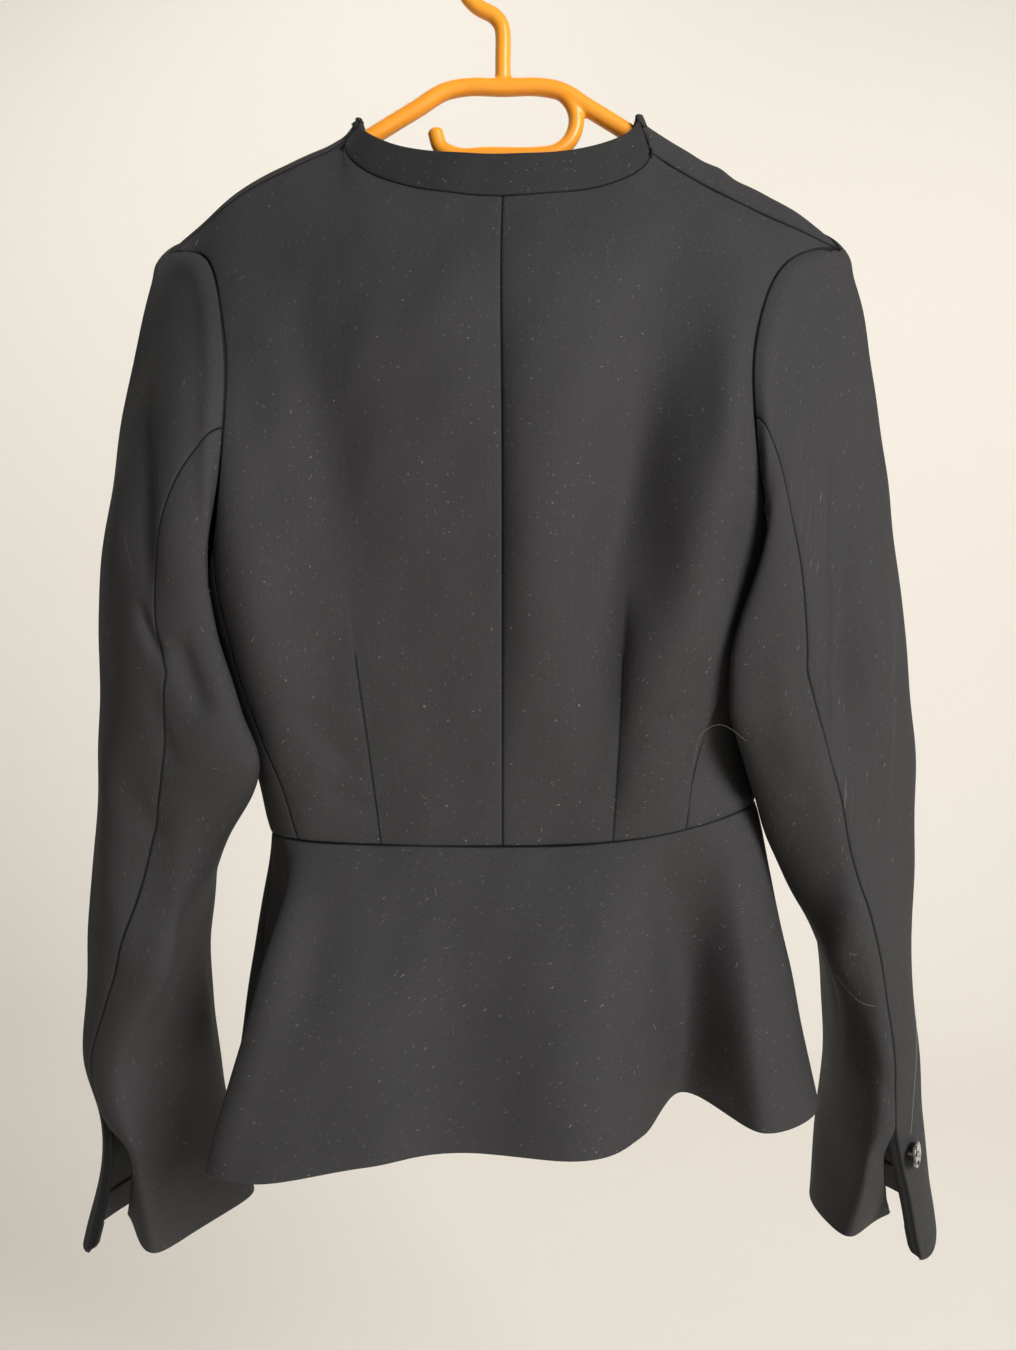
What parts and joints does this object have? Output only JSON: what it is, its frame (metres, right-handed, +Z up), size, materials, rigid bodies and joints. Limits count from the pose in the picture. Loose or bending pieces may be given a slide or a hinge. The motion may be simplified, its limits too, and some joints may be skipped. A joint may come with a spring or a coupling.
{
  "type": "peplum blazer on a clothes hanger",
  "caption": "Black collarless blazer with a flared peplum and long vented sleeves, hanging from a tubular plastic clothes hanger whose hook goes over a rail.",
  "frame": {"origin": "highest point of the space inside the hanger's hook, in the hanger's middle plane", "axes": "+Z up along the hanging length, +X towards the wearer's right hand, +Y towards the wearer's front"},
  "size_m": [0.5123, 0.2171, 0.7943],
  "materials": {
    "black_wool": "matte wool suiting",
    "smoky_button": "polished smoky grey",
    "orange_plastic": "satin moulded"
  },
  "bodies": {
    "root": {"back_left": "black_wool", "back_right": "black_wool", "side_left": "black_wool", "side_right": "black_wool", "front_left": "black_wool", "front_right": "black_wool", "neck_band": "black_wool", "peplum_back": "black_wool", "peplum_front_left": "black_wool", "peplum_front_right": "black_wool", "upper_sleeve_left": "black_wool", "upper_sleeve_right": "black_wool", "under_sleeve_left": "black_wool", "under_sleeve_right": "black_wool", "cuff_button_left": "smoky_button", "cuff_button_right": "smoky_button", "hanger": "orange_plastic"}
  },
  "joints": []
}
